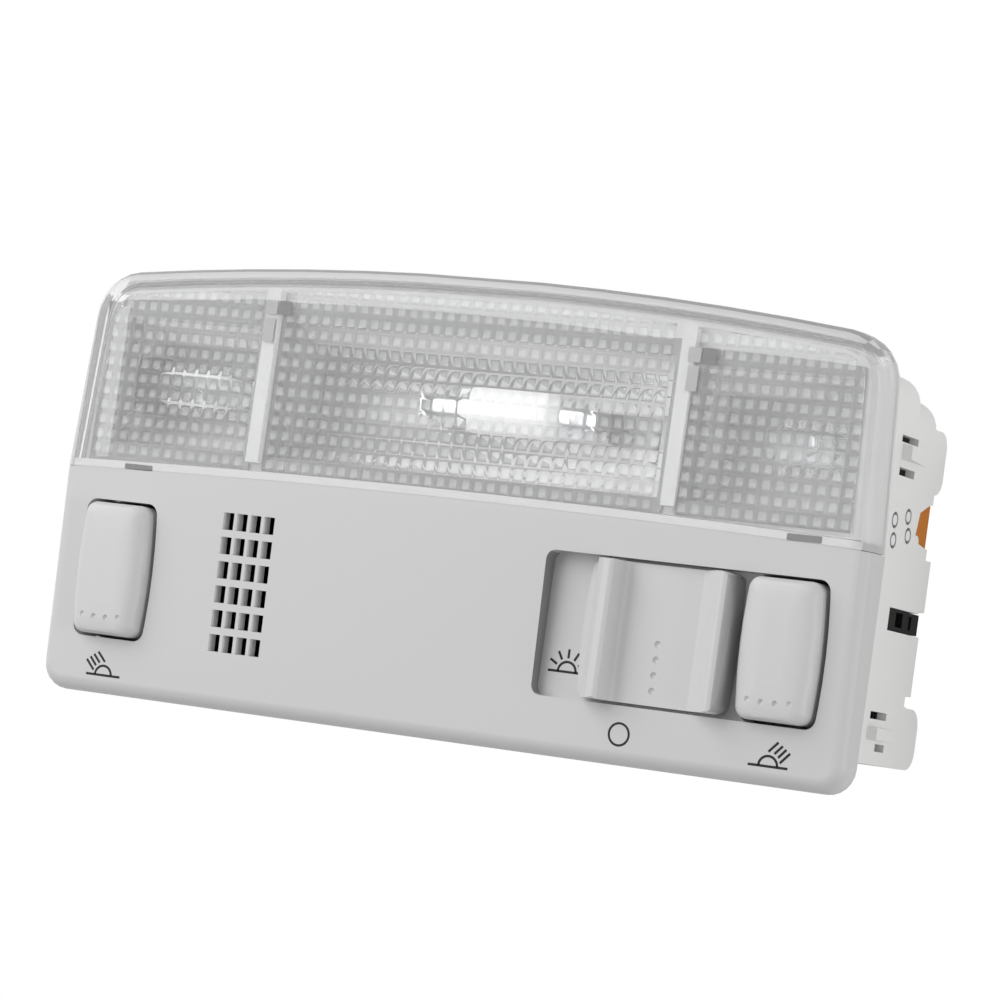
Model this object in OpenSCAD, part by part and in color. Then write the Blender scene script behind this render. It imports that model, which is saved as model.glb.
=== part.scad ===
// Car dome light: overhead lamp with a prismatic lens above a bezel with two
// reading-lamp buttons, a sliding main switch and a microphone grille.
// The part lies on its back, face up. Most modules work in the face frame,
// with y measured up from the bezel's lower edge and z from the face plane.

/* [Face] */
// Width of the face
face_w = 188; // [184:1:194]
// Height of the face at the middle
face_h = 95.4; // [93:0.2:99]
// Radius of the arched top edge
arch_r = 750; // [600:10:1200]
// Radius of the lower corners
low_r = 5.5; // [5:0.5:9]
// Radius of the upper corners
top_r = 10.5; // [9:0.5:13]
// How far each side leans in between the seam and the upper corner
side_lean = 1.6; // [0:0.1:2.4]
// Radius of the rounding round the front edge
edge_r = 3; // [2.4:0.1:3.6]
// Depth of the face's rim, front to back
flange_d = 7.8; // [6.6:0.1:8]
// Height of the seam between bezel and lens, at the middle
seam_y = 49.2; // [48.6:0.1:50.4]
// Radius of the arched seam
seam_r = 2700; // [2000:100:4000]
// Gap between bezel and lens along the seam
seam_gap = 0.2; // [0.1:0.05:0.4]
// Angle by which the bezel's face falls back below the seam
face_tilt = 2.6; // [1:0.1:3.2]
// Wall of the bezel
bezel_wall = 2.2; // [1.8:0.1:2.6]

/* [Lens] */
// Wall of the lens
lens_wall = 2; // [1.6:0.1:2.4]
// Wall of the lens along the seam
lens_foot = 1.6; // [1.2:0.1:2]
// Height of one row of prisms
prism_pitch = 3.12; // [2.8:0.04:4]
// Width of one prism
prism_w = 2.94; // [2.7:0.04:4]
// Height of the prisms
prism_h = 0.5; // [0.3:0.05:0.8]
// Width of a prism's flat top as a share of the pitch
prism_flat = 0.56; // [0.3:0.02:0.8]
// Width of a reading lamp's bay, from the face's side to the middle of the divider
bay_w = 45.4; // [44:0.2:48]
// Width of each divider
divider_w = 3; // [2.4:0.1:4]

/* [Buttons] */
// Width of a button's opening
open_w = 18.9; // [18:0.1:20]
// Height of the openings
open_h = 29.35; // [28:0.05:30]
// Height of the openings' lower edge
open_y = 11.85; // [11:0.05:13]
// Distance from a button's opening to the face's side
open_margin = 6.7; // [6:0.1:8]
// How far an opening's long side bows out
open_bow = 0.8; // [0.4:0.1:1]
// Corner radius of the openings
open_r = 2.4; // [2:0.1:4]
// Gap beside a button
button_gap_x = 1.05; // [0.9:0.05:1.6]
// Gap above and below a button
button_gap_y = 0.65; // [0.6:0.05:0.9]
// Height of a button's crown above the face
crown_h = 4.05; // [3.4:0.05:4.6]
// Wall of the buttons
button_wall = 1.5; // [1.2:0.1:1.8]
// Diameter of the buttons' pivot pins
pivot_d = 2; // [1.6:0.1:2.4]
// Radial clearance of the pivot pins
pivot_clear = 0.05; // [0.02:0.01:0.1]
// Pitch of the dimples
dimple_pitch = 3; // [2.6:0.1:3.2]
// Diameter of a dimple
dimple_d = 1.3; // [1:0.1:1.6]
// Diameter of a switch plunger
plunger_d = 5; // [4:0.1:6]

/* [Slider] */
// Width of the slider's knob
knob_w = 34.3; // [32:0.1:36]
// Height of the knob's ridges above the face
ridge_h = 4; // [3.4:0.1:4.6]
// Travel of the slider
slide_travel = 8; // [7:0.1:9]
// Gap between the knob and the right button's opening
knob_gap = 0.9; // [0.7:0.1:1.5]
// Gap between the knob and the recess at the end of its travel
knob_end_gap = 0.9; // [0.4:0.1:1.2]
// Depth of the recess
recess_d = 4.5; // [4:0.1:5]
// Thickness of the recess floor
recess_floor = 1.5; // [1.2:0.1:2]
// Running clearance of the slider
slide_clear = 0.3; // [0.2:0.05:0.4]

/* [Grille] */
// Distance from the left button's opening to the grille
grille_gap = 15.9; // [14:0.1:18]
// Columns of the grille
grille_cols = 4; // [2:1:4]
// Rows of the grille
grille_rows = 6; // [3:1:6]
// Pitch of the columns
grille_pitch_x = 3.32; // [3:0.02:3.4]
// Pitch of the rows
grille_pitch_y = 5.14; // [4.6:0.02:5.2]
// Width of a grille slot
grille_w = 2.6; // [2:0.1:2.8]
// Height of a grille slot
grille_h = 3.6; // [3:0.1:4]
// Depth of the grille bars from the face
grille_d = 2.65; // [2.5:0.05:3.4]

/* [Housing] */
// Wall of the housing
house_wall = 2; // [1.6:0.1:2.4]
// How far the housing's sides lie inside the face's sides
house_inset = 2.8; // [2.6:0.1:3.4]
// Height of the housing's lower wall
house_y = 7.1; // [6.8:0.1:7.6]
// Height of the first step's top
step1_y = 84.5; // [84:0.1:85.4]
// Depth of the first step's back
step1_d = 22.5; // [21:0.1:24]
// Height of the second step's top
step2_y = 81; // [80:0.1:82]
// Height of the deep part's top
deep_y = 75.6; // [75:0.1:76.5]
// Depth of the housing's back
back_d = 36; // [35.6:0.1:37]
// How far the second step's back lies before the housing's back
step2_rise = 3.5; // [3:0.1:5]
// How far the upper side brackets reach past the housing's back
bracket_out = 3.5; // [2.5:0.1:5]
// How far the lower side brackets, which the part rests on, reach past the housing's back
foot_out = 7.6; // [6:0.1:10]
// Thickness of the housing's mounting flange
plate_t = 2; // [1.6:0.1:2.4]
// How far the snap hooks stand out
hook_h = 2.2; // [1.6:0.1:2.4]

/* [Lamps] */
// Height of the reading bulbs' axis
map_y = 67.6; // [67:0.1:68.4]
// Diameter of the reading bulbs
map_bulb_d = 10; // [9:0.1:10.4]
// Length of the reading bulbs' glass outside the holder
map_bulb_l = 20; // [18:0.5:22]
// Length of the centre bulb between its caps' tips
dome_bulb_l = 41; // [38:0.5:42]
// Diameter of the centre bulb
dome_bulb_d = 10.4; // [9:0.1:11]
// Place of the centre bulb's middle
dome_x = 5; // [0:0.5:14]
// Wall of the reflectors
mirror_wall = 1.2; // [1:0.1:1.5]
// Thickness of the stamped strips
strip_t = 0.8; // [0.6:0.05:1]

/* [Screws] */
// Shank diameter of the bezel screws
screw_d = 2.9; // [2.5:0.1:3.2]
// Head diameter of the bezel screws
screw_head_d = 5.6; // [5:0.1:6]

/* [Hidden] */
$fn = 32;

// Colours
grey = [0.80, 0.80, 0.80];
pale = [0.84, 0.84, 0.83];
clear = [0.90, 0.93, 0.95, 0.45];
silver = [0.75, 0.76, 0.78];
black = [0.10, 0.10, 0.11];
amber = [0.72, 0.42, 0.14];
brass = [0.80, 0.66, 0.36];
steel = [0.62, 0.63, 0.65];

// Allowance by which cuts run past the faces that they open
over = 1;
// Clearance between fixed pieces that drop into each other
seat_gap = 0.3;

// Face outline
half_w = face_w / 2;
crease_y = 48;
corner_x = half_w - side_lean - top_r;
arch_y = face_h - arch_r;
corner_y = arch_y + sqrt(pow(arch_r - top_r, 2) - pow(corner_x, 2));
arch_a = asin(corner_x / (arch_r - top_r));
arc_steps = 6;

function arc(cx, cy, r, a0, a1, n) =
    [for (i = [0:n]) let (a = a0 + (a1 - a0) * i / n) [cx + r * cos(a), cy + r * sin(a)]];
function arch_points(o) =
    [for (i = [1:arc_steps - 1]) let (a = 90 - arch_a + arch_a * i / arc_steps)
        [(arch_r - o) * cos(a), arch_y + (arch_r - o) * sin(a)]];
function half_outline(o) = concat(
    arc(half_w - low_r, low_r, low_r - o, -90, 0, arc_steps),
    [[half_w - o, crease_y]],
    arc(corner_x, corner_y, top_r - o, 0, 90 - arch_a, arc_steps),
    arch_points(o));
function mirrored(p) = [for (i = [len(p) - 1:-1:0]) [-p[i].x, p[i].y]];
function outline(o) = concat(half_outline(o), mirrored(half_outline(o)));
function ring(o, z, fall) =
    [for (p = outline(o)) [p.x, p.y, z - fall * max(0, crease_y - p.y) * tan(face_tilt)]];

// Depth of the tilted face at a height above the lower edge
function face_fall(y) = max(0, crease_y - y) * tan(face_tilt);

// Depths of the housing
step2_d = back_d - step2_rise;
bracket_d = back_d + bracket_out;
foot_d = back_d + foot_out;

// Buttons and openings
open_x = half_w - open_margin - open_w / 2;
open_mid_y = open_y + open_h / 2;
button_w = open_w - 2 * button_gap_x;
button_h = open_h - 2 * button_gap_y;
well_t = 1.2;
well_d = 10;
well_top = face_fall(open_y - well_t) + 0.2;
pivot_y = open_y + open_h - 3;
pivot_d_z = 7.6;
pivot_grip = well_t - 0.2;
skirt_d = 9.2;
stem_y = open_mid_y - 2.4;
stem_d = 4;
stem_l = 15;
press_gap = 0.35;
dimple_y = 4.3;
dimple_arc_r = 30;
switch_w = 16;
switch_l = 11;

// Grille
grille_x = -open_x + open_w / 2 + grille_gap;
grille_all_w = (grille_cols - 1) * grille_pitch_x + grille_w;
grille_all_h = (grille_rows - 1) * grille_pitch_y + grille_h;
grille_mid = open_y + 0.1 + grille_all_h / 2 - open_mid_y;

// Slider
knob_x1 = open_x - open_w / 2 - knob_gap;
knob_x0 = knob_x1 - knob_w;
recess_x0 = knob_x0 - slide_travel - knob_end_gap;
knob_h = button_h;
knob_floor = recess_d - slide_clear;
knob_r = 2.2;
lip_t = 1;
lip_w = 1.6;
scoop_d = ridge_h + 1.6;
scoop_x0 = knob_x0 + 7.8;
scoop_x1 = knob_x1 - 2.2;
post_w = 6;
post_l = 14;
post_x = (knob_x0 + knob_x1) / 2;
slot_clear = 0.4;
carriage_w = 14;
carriage_l = 18;
carriage_t = 5;
carriage_d = recess_d + recess_floor + slide_clear;
rail_t = 1.5;
rail_d = carriage_d + carriage_t - 1;
wiper_w = 3;
wiper_d = 3.6;
contact_d = carriage_d + carriage_t + wiper_d + seat_gap;

// Housing
divider_x = half_w - bay_w;
house_half = half_w - house_inset;
floor_d = back_d - house_wall;
plate_back = flange_d + plate_t;
strip_d = floor_d - strip_t;
lens_seat_d = 4.8;
step_r = 6;
open_top = seam_y - 3.2;
window_y = seam_y + 3.3;
window_half = house_half - 5.2;
centre_window_top = 85.3;
side_window_top = 82.7;
divider_top_d = lens_wall + 0.3;
partition_d = back_d - 7;

// Screws
boss_d = 6;
boss_end = 12;
post_d = 8;
screw_margin_x = 8;
screw_margin_y = 3.5;
screw_low_y = open_y + screw_margin_y;
screw_high_y = open_y + open_h - screw_margin_y;
head_seat_d = 18;
head_t = 2.2;
screw_tip_d = 4.6;
screw_bore_d = screw_d + 0.1;
screw_places = [for (x = [grille_x - screw_margin_x, recess_x0 - 1.5 * screw_margin_x])
    for (y = [screw_low_y, screw_high_y]) [x, y]];

// Connectors in the right side
lamp_plug_y = [52.3, 60.4];
lamp_plug_w = 12;
lamp_plug_top = back_d - 7.7;
lamp_plug_end = back_d - 0.3;
switch_plug_y = [33.2, 39.2];
switch_plug_w = 10.8;
switch_plug_top = back_d - 15.5;
switch_plug_end = back_d + 1.3;
plug_wall = 1;
plug_x1 = house_half - house_wall - seat_gap;
pad_x1 = house_half - 0.4;
pad_gap = 0.2;

module in_face() { translate([0, -face_h / 2, foot_d]) children(); }

// A block given by two opposite corners of the face frame
module span(a, b) {
    translate([min(a.x, b.x), min(a.y, b.y), min(a.z, b.z)])
        cube([abs(a.x - b.x), abs(a.y - b.y), abs(a.z - b.z)]);
}

// A solid through equal rings, closed by one flat below and by two facets that meet at the crease
module skin(rings, crease) {
    n = len(rings[0]);
    m = len(rings) - 1;
    sides = [for (k = [0:m - 1]) for (j = [0:n - 1])
        [k * n + j, (k + 1) * n + j, (k + 1) * n + (j + 1) % n, k * n + (j + 1) % n]];
    bottom = [[for (j = [0:n - 1]) j]];
    low_cap = [[for (j = [crease:-1:0]) m * n + j, for (j = [n - 1:-1:n - 1 - crease]) m * n + j]];
    high_cap = [[for (j = [n - 1 - crease:-1:crease]) m * n + j]];
    polyhedron(points = [for (r = rings) each r], faces = concat(sides, bottom, low_cap, high_cap));
}

// The face's outer form, or the hollow a given wall inside it
module face_form(in, depth) {
    edge = [for (a = [0:15:90]) ring(in + edge_r * (1 - cos(a)), -in - edge_r * (1 - sin(a)), 1)];
    skin(concat([ring(in, -depth, 0)], edge), arc_steps + 1);
}

// The area above the arched seam, raised by a given amount
module above_seam(up) {
    difference() {
        translate([-half_w - over, 0]) square([face_w + 2 * over, face_h + over]);
        translate([0, seam_y - seam_r + up]) circle(r = seam_r, $fn = 720);
    }
}

module above_seam_solid(up) {
    translate([0, 0, -flange_d - 2 * over]) linear_extrude(flange_d + 3 * over) above_seam(up);
}

// Rounded upright shape with long sides that bow out
module bowed(w, h, bow, r) {
    bow_r = (h * h / 4 + bow * bow) / (2 * bow);
    offset(r = r) offset(delta = -r) intersection() {
        translate([bow_r - w / 2, 0]) circle(r = bow_r, $fn = 160);
        translate([w / 2 - bow_r, 0]) circle(r = bow_r, $fn = 160);
        square([w, h], center = true);
    }
}

// Area of the left button's opening, or of the right one's with side 1
module button_area(side, grow) {
    translate([side * open_x, open_mid_y])
        bowed(open_w + 2 * grow, open_h + 2 * grow, open_bow, open_r + grow);
}

// Area of the long recess that the slider and the right button share
module recess_area(grow) {
    button_area(1, grow);
    translate([recess_x0 - grow, open_y - grow]) offset(r = 2) offset(delta = -2)
        square([open_x - recess_x0 + 2 * grow, open_h + 2 * grow]);
}

// Upright wall of the button's well: a ring between the opening and its outside
module well_area(side) {
    difference() {
        button_area(side, well_t);
        button_area(side, 0);
    }
}

module drop(z0, z1) { translate([0, 0, -z1]) linear_extrude(z1 - z0) children(); }

module bezel_shell() {
    difference() {
        face_form(0, flange_d);
        above_seam_solid(-seam_gap / 2);
        difference() {
            face_form(bezel_wall, flange_d + over);
            above_seam_solid(-seam_gap / 2 - lens_foot);
        }
    }
}

// Places things on the tilted face, at the middle height of the openings
module on_tilt() {
    translate([0, open_mid_y, -face_fall(open_mid_y)]) rotate([face_tilt, 0, 0]) children();
}

// A block that follows the tilted face over the grille's area, between two depths
module grille_block(margin, d0, d1) {
    on_tilt() translate([grille_x - margin, grille_mid - grille_all_h / 2 - margin, -d1])
        cube([grille_all_w + 2 * margin, grille_all_h + 2 * margin, d1 - d0]);
}

module grille_slots() {
    on_tilt() for (i = [0:grille_cols - 1]) for (j = [0:grille_rows - 1])
        translate([grille_x + i * grille_pitch_x, grille_mid - grille_all_h / 2 + j * grille_pitch_y,
                   -grille_d - over])
            cube([grille_w, grille_h, grille_d + 2 * over]);
}

// Small guide ribs in the left button's gap, above and below
nib_w = 0.9;
nib_h = 0.25;

module nibs() {
    for (y = [open_y - nib_h, open_y + open_h - nib_h])
        span([-open_x - 2.2 - nib_w, y, -well_d + 4], [-open_x - 2.2, y + 2 * nib_h, -face_fall(open_y) - 0.5]);
}

module bezel() {
    color(grey) in_face() difference() {
        union() {
            difference() {
                bezel_shell();
                drop(-over, flange_d) button_area(-1, 0);
                drop(-over, flange_d) recess_area(0);
            }
            drop(well_top, well_d) well_area(-1);
            drop(well_top, recess_d + recess_floor) difference() {
                recess_area(well_t);
                recess_area(0);
            }
            drop(recess_d, recess_d + recess_floor) recess_area(well_t);
            drop(recess_d, well_d) well_area(1);
            for (s = [-1, 1])
                translate([post_x, open_mid_y + s * (carriage_l / 2 + slide_clear + rail_t / 2), 0])
                    translate([-carriage_w / 2 - slide_travel, -rail_t / 2, -rail_d])
                        cube([carriage_w + slide_travel, rail_t, rail_d - recess_d - recess_floor / 2]);
            grille_block(1, bezel_wall / 2, grille_d);
            nibs();
            for (p = screw_places) translate([p.x, p.y, -boss_end])
                cylinder(d = boss_d, h = boss_end - bezel_wall - face_fall(p.y) + 0.4);
        }
        drop(recess_d - over / 2, well_d + over) button_area(1, 0);
        span([post_x - post_w / 2 - slide_travel - slot_clear, open_mid_y - post_l / 2 - slot_clear,
              -recess_d - recess_floor - over],
             [post_x + post_w / 2 + slot_clear, open_mid_y + post_l / 2 + slot_clear, -recess_d + over]);
        grille_slots();
        for (s = [-1, 1]) translate([s * open_x, pivot_y, -pivot_d_z]) rotate([0, 90, 0])
            cylinder(d = pivot_d + 2 * pivot_clear, h = open_w + 2 * well_t + over, center = true);
        for (p = screw_places) translate([p.x, p.y, -boss_end - over])
            cylinder(d = screw_bore_d, h = boss_end + over - screw_tip_d + 0.4);
    }
}

// A field of square flat-topped prisms that point into the lamp: nx by ny from one corner
module prisms(x0, y0, nx, ny) {
    root = lens_wall + 0.05;
    half = [prism_w * prism_flat / 2, prism_pitch * prism_flat / 2];
    across = [for (j = [0:ny]) for (i = [0:nx]) [x0 + i * prism_w, y0 + j * prism_pitch, -root]];
    tips = [for (j = [0:ny - 1]) for (i = [0:nx - 1]) for (c = [[-1, -1], [1, -1], [1, 1], [-1, 1]])
        [x0 + (i + 0.5) * prism_w + c.x * half.x, y0 + (j + 0.5) * prism_pitch + c.y * half.y,
         -root - prism_h]];
    base = [for (j = [0, ny]) for (i = [0, nx])
        [x0 + i * prism_w, y0 + j * prism_pitch, -lens_wall / 2]];
    t = len(across);
    b = t + len(tips);
    w = nx + 1;
    slopes = [for (j = [0:ny - 1]) for (i = [0:nx - 1]) let (a = j * w + i, p = t + 4 * (j * nx + i))
        each [[a, a + 1, p + 1, p], [a + 1, a + w + 1, p + 2, p + 1], [a + w + 1, a + w, p + 3, p + 2],
              [a + w, a, p, p + 3], [p, p + 1, p + 2, p + 3]]];
    front = [[b, b + 2, b + 3, b + 1]];
    low = [concat([b, b + 1], [for (i = [nx:-1:0]) i])];
    high = [concat([b + 3, b + 2], [for (i = [0:nx]) ny * w + i])];
    left = [concat([b + 2, b], [for (j = [0:ny]) j * w])];
    right = [concat([b + 1, b + 3], [for (j = [ny:-1:0]) j * w + nx])];
    polyhedron(points = concat(across, tips, base), faces = concat(slopes, front, low, high, left, right));
}

module prism_fields() {
    y0 = seam_y + lens_foot;
    ny = floor((face_h - lens_wall - y0) / prism_pitch);
    inner = divider_x - divider_w / 2 - 0.3;
    nx = floor(2 * inner / prism_w);
    outer = divider_x + divider_w / 2 + 0.3;
    ns = floor((half_w - lens_wall - outer) / prism_w);
    prisms(-nx * prism_w / 2, y0, nx, ny);
    prisms(outer, y0, ns, ny);
    prisms(-outer - ns * prism_w, y0, ns, ny);
}

// Two notches in the lens foot, with slots behind them in the flange, where catches hold the lens
catch_w = 6.6;
catch_x = half_w - 17.5;

module catches(reach, depth) {
    for (s = [-1, 1]) translate([s * catch_x - catch_w / 2, 0, -depth]) intersection() {
        translate([0, seam_y - 2, 0]) cube([catch_w, 5, depth - 1.6]);
        translate([catch_w / 2 - s * catch_x, 0, depth]) difference() {
            above_seam_solid(seam_gap);
            above_seam_solid(reach - 0.4);
        }
    }
}

module lens() {
    color(clear) in_face() {
        difference() {
            face_form(0, flange_d);
            difference() {
                translate([-half_w - over, -over, -flange_d - over])
                    cube([face_w + 2 * over, face_h + 2 * over, flange_d + 2 * over]);
                above_seam_solid(seam_gap / 2);
            }
            intersection() {
                face_form(lens_wall, flange_d + over);
                above_seam_solid(seam_gap / 2 + lens_foot);
            }
            catches(lens_foot, flange_d + over);
        }
        intersection() {
            prism_fields();
            drop(lens_wall / 2 - 0.2, flange_d) polygon(outline(lens_wall + edge_r));
        }
    }
}

// Outline of one step of the housing, with rounded upper corners and a top that follows the arch
module step_area(top, in, rise) {
    half = house_half - in;
    r = step_r - in / 2;
    polygon(concat(
        [[-half, house_y + in], [half, house_y + in]],
        arc(half - r, top - in - r, r, 0, 90, arc_steps),
        [for (i = [5:-1:-5]) let (x = (half - r) * i / 6) [x, top - in + rise * arch_rise(x)]],
        arc(-half + r, top - in - r, r, 90, 180, arc_steps)));
}

// How much higher the arch is at a place than above the housing's corner
function arch_rise(x) = sqrt(arch_r * arch_r - x * x) - sqrt(pow(arch_r, 2) - pow(house_half - step_r, 2));

// Rounded flat of a side wall: y along the wall, depth downward
module flat(y0, y1, d0, d1, r) {
    translate([y0, -d1]) offset(r = r) offset(delta = -r) square([y1 - y0, d1 - d0]);
}

// Profile of a side wall in y and depth, with its brackets
module side_profile(right) {
    flat(house_y, house_y + 12.3, plate_back, foot_d, 4);
    flat(62.7, deep_y, plate_back, bracket_d, 3.6);
    translate([house_y, -back_d]) square([deep_y - house_y, back_d - plate_back]);
    if (right) {
        translate([21.8, -back_d - 1.7]) square([12.1, 10]);
        translate([39, -back_d - 2.9]) square([10.4, 10]);
    }
}

// Notches of the right wall through which the two connectors are seen
module lamp_plug_notch() {
    difference() {
        translate([0, -back_d]) polygon([[51.6, -4], [51.6, 0.7], [52.6, 7.5], [58.4, 6.2], [60.6, 1.2], [60.6, -4]]);
        translate([52.3, 6.6 - back_d]) circle(r = 1.5);
    }
}

module switch_plug_notch() {
    translate([33.9, -back_d - 4]) square([4.6, back_d + 4 - switch_plug_top]);
}

module right_notches() {
    lamp_plug_notch();
    switch_plug_notch();
    translate([19.6, -back_d - 2]) square([2.2, 3.2]);
}

// Slots that free the snap hooks, upper bracket then lower bracket
module hook_slots() {
    translate([71, -23.9]) square([1.4, 8.6]);
    translate([64.4, -24]) square([1.6, 8]);
    translate([16.1, -26.2]) square([1.5, 8.4]);
    translate([9.8, -27]) square([1.5, 4.8]);
}

// Stands a y-depth drawing up as a wall between two x places
module upright(x0, x1) {
    translate([x0, 0, 0]) rotate([90, 0, 90]) linear_extrude(x1 - x0) children();
}

module side_wall(right) {
    upright(house_half - house_wall, house_half) difference() {
        side_profile(right);
        hook_slots();
        if (right) right_notches();
    }
}

// Snap hook: a wedge that rises from the back towards the flange
module hook(y, w, d0, d1) {
    translate([0, y + w, 0]) rotate([90, 0, 0]) linear_extrude(w)
        polygon([[house_half - house_wall / 2, -d1], [house_half, -d1], [house_half + hook_h, -d0 - 0.5],
                 [house_half + hook_h, -d0], [house_half - house_wall / 2, -d0]]);
}

module mould_ring(y, d) {
    translate([house_half - 0.6, y, -d]) rotate([0, 90, 0]) difference() {
        cylinder(d = 3.3, h = 0.6 + over);
        translate([0, 0, -over]) cylinder(d = 2.1, h = 0.6 + 3 * over);
    }
}

module window_area(grow) {
    for (s = [-1, 1]) {
        x0 = divider_x + divider_w / 2 - grow;
        x1 = window_half + grow;
        translate([s > 0 ? x0 : -x1, window_y - grow])
            square([x1 - x0, side_window_top - window_y + 2 * grow]);
    }
    inner = divider_x - divider_w / 2;
    translate([-inner - grow, window_y - grow])
        square([2 * (inner + grow), centre_window_top - window_y + 2 * grow]);
}

// Low ribs that stiffen the housing's back
rib_t = 1.2;
rib_h = 1.2;
ribs_across = 7;

module back_ribs() {
    y0 = house_y + step_r;
    y1 = deep_y - step_r;
    half = house_half - 4 * step_r;
    for (i = [0:ribs_across - 1])
        translate([-half + i * 2 * half / (ribs_across - 1) - rib_t / 2, y0, -back_d - rib_h])
        cube([rib_t, y1 - y0, rib_h + house_wall / 2]);
    for (y = [y0, (y0 + y1) / 2, y1]) translate([-half, y - rib_t / 2, -back_d - rib_h])
        cube([2 * half, rib_t, rib_h + house_wall / 2]);
}

module rear_housing() {
    inner = house_half - house_wall;
    color(pale) in_face() difference() {
        union() {
            difference() {
                union() {
                    drop(flange_d, plate_back) polygon(outline(0.8));
                    drop(lens_seat_d, plate_back) intersection() {
                        polygon(outline(lens_wall + 1.2));
                        above_seam(lens_foot + seam_gap + seat_gap);
                    }
                    drop(plate_back - over, step1_d) step_area(step1_y, 0, 1);
                    drop(plate_back, step2_d) step_area(step2_y, 0, 1);
                    drop(plate_back, back_d) step_area(deep_y, 0, 0);
                }
                drop(plate_back, step1_d - house_wall) step_area(step1_y, house_wall, 1);
                drop(plate_back, step2_d - house_wall) step_area(step2_y, house_wall, 1);
                drop(plate_back, floor_d) step_area(deep_y, house_wall, 0);
                drop(0, floor_d) translate([-inner, house_y + house_wall])
                    square([2 * inner, open_top - house_y - house_wall]);
                drop(0, plate_back + over) window_area(0);
                upright(house_half - house_wall - over, house_half + over) {
                    hook_slots();
                    right_notches();
                }
                mirror([1, 0, 0]) upright(house_half - house_wall - over, house_half + over) hook_slots();
            }
            side_wall(true);
            mirror([1, 0, 0]) side_wall(false);
            back_ribs();
            for (s = [0, 1]) mirror([s, 0, 0]) {
                hook(67.6, 2.8, 16, 30);
                hook(12, 2.4, 17, 32);
                span([divider_x - divider_w / 2, window_y, -partition_d],
                     [divider_x + divider_w / 2, side_window_top, -flange_d]);
                span([divider_x - divider_w / 2, window_y, -flange_d - 0.2],
                     [divider_x + divider_w / 2, centre_window_top + 4, -divider_top_d]);
            }
            for (p = screw_places) translate([p.x, p.y, -floor_d - house_wall / 2])
                cylinder(d = post_d, h = floor_d + house_wall / 2 - boss_end);
        }
        for (p = screw_places) translate([p.x, p.y, -back_d - rib_h - over]) {
            cylinder(d = screw_bore_d + 0.4, h = back_d + rib_h);
            cylinder(d = screw_head_d + 0.6, h = back_d + rib_h + over - head_seat_d);
        }
        mould_ring(55.5, 17.1);
        mould_ring(51.5, 17.5);
        mould_ring(56.9, 23.8);
        mould_ring(53.2, 24.8);
        catches(lens_foot + seam_gap, plate_back + over);
        span([plug_x1 - lamp_plug_w - seat_gap, lamp_plug_y[0] - seat_gap, -back_d - over],
             [plug_x1 + seat_gap, lamp_plug_y[1] + seat_gap, -floor_d + over]);
        span([plug_x1 - switch_plug_w - seat_gap, switch_plug_y[0] - seat_gap, -back_d - over],
             [plug_x1 + seat_gap, switch_plug_y[1] + seat_gap, -floor_d + over]);
    }
}

// Elliptical troughs behind the windows, open to the front, with rims that rest on the lens seat
rim_t = 0.6;
rim_w = 1;
mirror_front = lens_seat_d - rim_t;
mirror_end = back_d - 10;
dome_d = (mirror_front + mirror_end) / 2 + 0.5;
map_d = dome_d + 0.4;
centre_y = (window_y + centre_window_top) / 2;

module trough_profile(y0, y1, in) {
    mid = (y0 + y1) / 2;
    half = (y1 - y0) / 2 - seat_gap - in;
    reach = mirror_end - mirror_front - in;
    polygon(concat([[mid + half, -mirror_front + (in > 0 ? over : 0)]],
        [for (a = [0:15:180]) [mid + half * cos(a), -mirror_front - reach * sin(a)]],
        [[mid - half, -mirror_front + (in > 0 ? over : 0)]]));
}

module trough(x0, x1, y0, y1) {
    difference() {
        union() {
            upright(x0 + seat_gap, x1 - seat_gap) trough_profile(y0, y1, 0);
            span([x0 + seat_gap, y0 - rim_w, -lens_seat_d], [x1 - seat_gap, y1 + rim_w, -mirror_front]);
        }
        upright(x0 + seat_gap + mirror_wall, x1 - seat_gap - mirror_wall) trough_profile(y0, y1, mirror_wall);
    }
}

module centre_reflector() {
    half = divider_x - divider_w / 2;
    color(silver) in_face() difference() {
        trough(-half, half, window_y, centre_window_top);
        for (s = [-1, 1]) translate([dome_x + s * clip_place + clip_t / 2, centre_y, -mirror_end])
            cube([2.4, clip_w + 1.4, 14], center = true);
    }
}

// A reading lamp's reflector, with a hole for the bulb holder's nose in its outer end
module map_reflector() {
    difference() {
        intersection() {
            trough(divider_x + divider_w / 2, window_half, window_y, side_window_top);
            drop(0, back_d) step_area(step1_y, house_wall + seat_gap, 1);
        }
        translate([window_half, map_y, -map_d]) rotate([0, 90, 0])
            cylinder(d = nose_d + 0.8, h = 4, center = true);
    }
}

module left_reflector() { color(silver) in_face() mirror([1, 0, 0]) map_reflector(); }
module right_reflector() { color(silver) in_face() map_reflector(); }

// Centre bulb: glass tube with domed ends, a cap on each end and a coil between
cap_d = 7;
cap_l = 4.4;
cap_tip_l = 3.6;
cap_tip_r = 1.6;
bulb_wall = 0.8;
dome_glass_l = dome_bulb_l - 2 * cap_l - 2 * cap_tip_l;

module dome_axis() {
    in_face() translate([dome_x, centre_y, -dome_d]) rotate([0, 90, 0]) children();
}

module capsule_profile(d, l) {
    intersection() {
        offset(r = d / 2.2) offset(delta = -d / 2.2) square([d, l], center = true);
        translate([0, -l / 2]) square([d, l]);
    }
}

module dome_bulb_glass() {
    color(clear) dome_axis() rotate_extrude() difference() {
        capsule_profile(dome_bulb_d, dome_glass_l);
        capsule_profile(dome_bulb_d - 2 * bulb_wall, dome_glass_l - 2 * bulb_wall);
    }
}

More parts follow.
